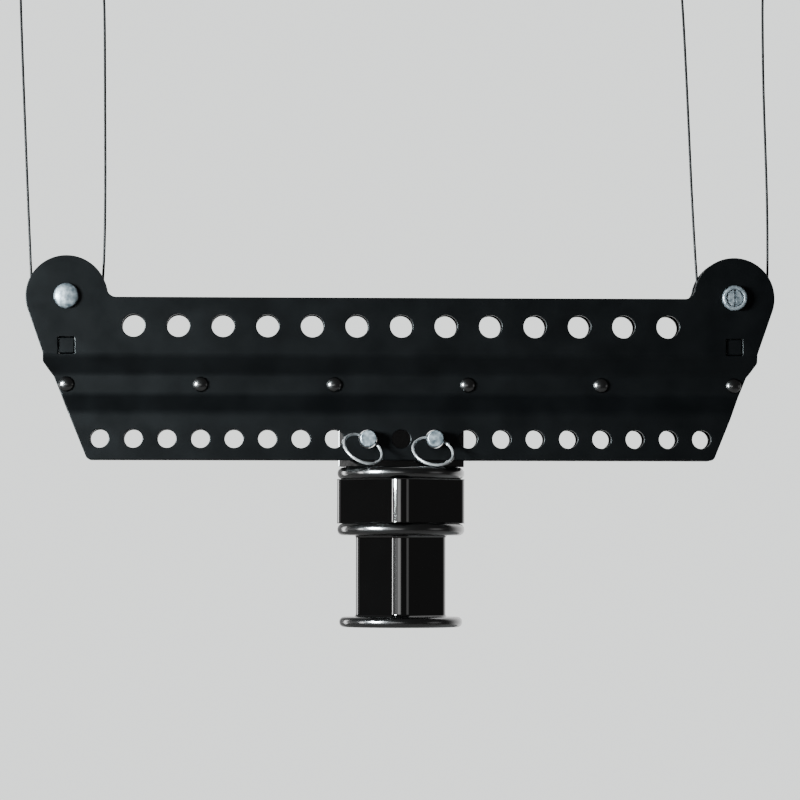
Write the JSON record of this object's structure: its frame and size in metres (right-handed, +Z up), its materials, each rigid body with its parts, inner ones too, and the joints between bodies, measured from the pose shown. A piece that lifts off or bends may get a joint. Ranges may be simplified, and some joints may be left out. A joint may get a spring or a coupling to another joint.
{
  "type": "ceiling mounted pulley rack",
  "caption": "Lifting bar of two riveted formed plates with hole rows, hung on wire ropes from ceiling fittings by an end sheave each, with a pinned square hub below.",
  "frame": {"origin": "on the ceiling plane, above the middle of the bar", "axes": "+X along the bar, +Y from its front to its back, +Z up"},
  "size_m": [0.4631, 0.0726, 0.3879],
  "materials": {
    "powder_black": "satin black powder coat",
    "gloss_black": "gloss black paint",
    "zinc": "bright zinc plate",
    "rope_steel": "dark drawn wire",
    "sheave_nylon": "cast nylon, matte",
    "bronze": "sintered bronze",
    "steel": "plain machined steel"
  },
  "bodies": {
    "ceiling": {"ceiling_plate_left": "powder_black", "rope_guide_left": "zinc", "rope_socket_left": "zinc", "ceiling_plate_right": "powder_black", "rope_guide_right": "zinc", "rope_socket_right": "zinc"},
    "suspension": {"wire_rope_left": "rope_steel", "ball_terminal_left": "steel", "wire_rope_right": "rope_steel", "ball_terminal_right": "steel"},
    "rack": {"front_plate": "powder_black", "rear_plate": "powder_black", "waist_rivet_1": "gloss_black", "waist_rivet_2": "gloss_black", "waist_rivet_3": "gloss_black", "waist_rivet_4": "gloss_black", "waist_rivet_5": "gloss_black", "waist_rivet_6": "gloss_black", "rope_keeper_left": "powder_black", "axle_bolt_left": "zinc", "axle_nut_left": "zinc", "axle_sleeve_left": "steel", "thrust_washer_front_left": "bronze", "thrust_washer_rear_left": "bronze", "blade_screw_left": "steel", "rope_keeper_right": "powder_black", "axle_bolt_right": "zinc", "axle_nut_right": "zinc", "axle_sleeve_right": "steel", "thrust_washer_front_right": "bronze", "thrust_washer_rear_right": "bronze", "blade_screw_right": "steel", "hub_blade": "gloss_black", "hub_top_disc": "gloss_black", "hub_upper_block": "gloss_black", "hub_middle_disc": "gloss_black", "hub_lower_post": "gloss_black", "hub_bottom_flange": "gloss_black", "tie_bolt": "steel"},
    "sheave_left": {"sheave_left": "sheave_nylon", "sheave_bush_left": "bronze"},
    "pin_left": {"release_pin_left": "zinc", "detent_spring_left": "steel"},
    "detent_left": {"detent_ball_left": "steel"},
    "ring_left": {"pull_ring_left": "zinc"},
    "sheave_right": {"sheave_right": "sheave_nylon", "sheave_bush_right": "bronze"},
    "pin_right": {"release_pin_right": "zinc", "detent_spring_right": "steel"},
    "detent_right": {"detent_ball_right": "steel"},
    "ring_right": {"pull_ring_right": "zinc"}
  },
  "joints": [
    {"name": "swing", "type": "hinge", "parent": "ceiling", "child": "suspension", "pos_m": [0, 0, -0.013], "axis": [1, 0, 0], "range_deg": [-12, 12]},
    {"name": "hoist", "type": "slide", "parent": "suspension", "child": "rack", "axis": [0, 0, 1], "range_m": [0, 0.08], "deforming": ["wire_rope_left", "wire_rope_right"]},
    {"name": "sheave_spin_left", "type": "hinge", "parent": "rack", "child": "sheave_left", "pos_m": [-0.1905, 0, -0.2], "axis": [0, 1, 0], "range_deg": [0, 227]},
    {"name": "pin_pull_left", "type": "slide", "parent": "rack", "child": "pin_left", "axis": [0, -1, 0], "range_m": [0, 0.032]},
    {"name": "detent_press_left", "type": "slide", "parent": "pin_left", "child": "detent_left", "axis": [0.4695, 0, 0.8829], "range_m": [-0.00025, 0], "stiffness_N_per_m": 60, "springref_m": 0.002},
    {"name": "ring_lift_left", "type": "hinge", "parent": "pin_left", "child": "ring_left", "pos_m": [-0.01905, -0.0126, -0.2809], "axis": [-0.8829, 0, 0.4695], "range_deg": [0, 130]},
    {"name": "sheave_spin_right", "type": "hinge", "parent": "rack", "child": "sheave_right", "pos_m": [0.1905, 0, -0.2], "axis": [0, 1, 0], "range_deg": [0, 227]},
    {"name": "pin_pull_right", "type": "slide", "parent": "rack", "child": "pin_right", "axis": [0, -1, 0], "range_m": [0, 0.032]},
    {"name": "detent_press_right", "type": "slide", "parent": "pin_right", "child": "detent_right", "axis": [0.225, 0, 0.9744], "range_m": [-0.00025, 0], "stiffness_N_per_m": 60, "springref_m": 0.002},
    {"name": "ring_lift_right", "type": "hinge", "parent": "pin_right", "child": "ring_right", "pos_m": [0.01905, -0.0126, -0.2809], "axis": [-0.9744, 0, 0.225], "range_deg": [0, 130]}
  ],
  "couplings": [
    {"joint": "sheave_spin_left", "follows": "hoist", "rad_per_m": 49.505},
    {"joint": "sheave_spin_right", "follows": "hoist", "rad_per_m": 49.505}
  ]
}
